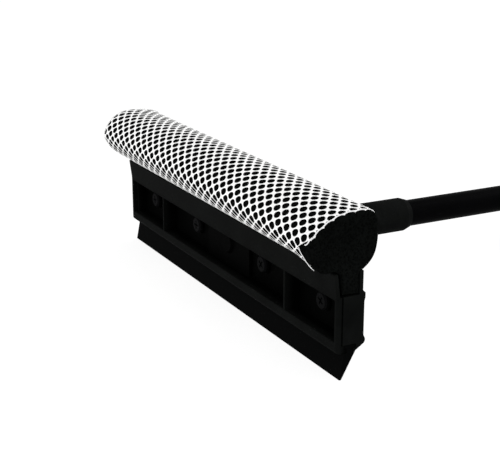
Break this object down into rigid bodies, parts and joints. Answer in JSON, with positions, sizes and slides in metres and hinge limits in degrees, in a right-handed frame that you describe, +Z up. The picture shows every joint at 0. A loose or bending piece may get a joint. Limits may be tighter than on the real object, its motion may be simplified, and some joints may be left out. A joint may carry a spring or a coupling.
{
  "type": "window cleaning squeegee",
  "caption": "Window squeegee with a net-covered sponge above a rubber blade in a clamped two-piece head, on a telescopic handle with a twist lock, ribbed grip and hanging eye.",
  "frame": {"origin": "on the floor plane under the middle of the closed squeegee's bounding box, level with the blade's wiping edge", "axes": "+X along the head, +Y from the head back along the handle, +Z up with the sponge above the blade"},
  "size_m": [0.3, 0.703, 0.1009],
  "materials": {
    "black_moulding": "satin black moulded plastic",
    "black_screw": "black oxide steel",
    "blade_rubber": "matt black rubber",
    "foam": "black open-cell foam",
    "net": "white knitted plastic net",
    "black_tube": "black coated metal tube",
    "grip_rubber": "matt black soft grip"
  },
  "bodies": {
    "head": {"front_clamp": "black_moulding", "head_body": "black_moulding", "clamp_screws": "black_screw", "rubber_blade": "blade_rubber", "sponge": "foam", "net_cover": "net", "neck_screw": "black_screw", "inner_tube": "black_tube", "guide_bush": "black_moulding"},
    "handle": {"outer_tube": "black_tube", "lock_collet": "black_moulding", "grip": "grip_rubber", "end_cap": "black_moulding"},
    "lock": {"lock_collar": "black_moulding"}
  },
  "joints": [
    {"name": "handle_slide", "type": "slide", "parent": "head", "child": "handle", "axis": [0, 1, 0], "range_m": [0, 0.25]},
    {"name": "lock_twist", "type": "hinge", "parent": "handle", "child": "lock", "pos_m": [0, -0.0495, 0.039], "axis": [0, 1, 0], "range_deg": [0, 120]}
  ]
}
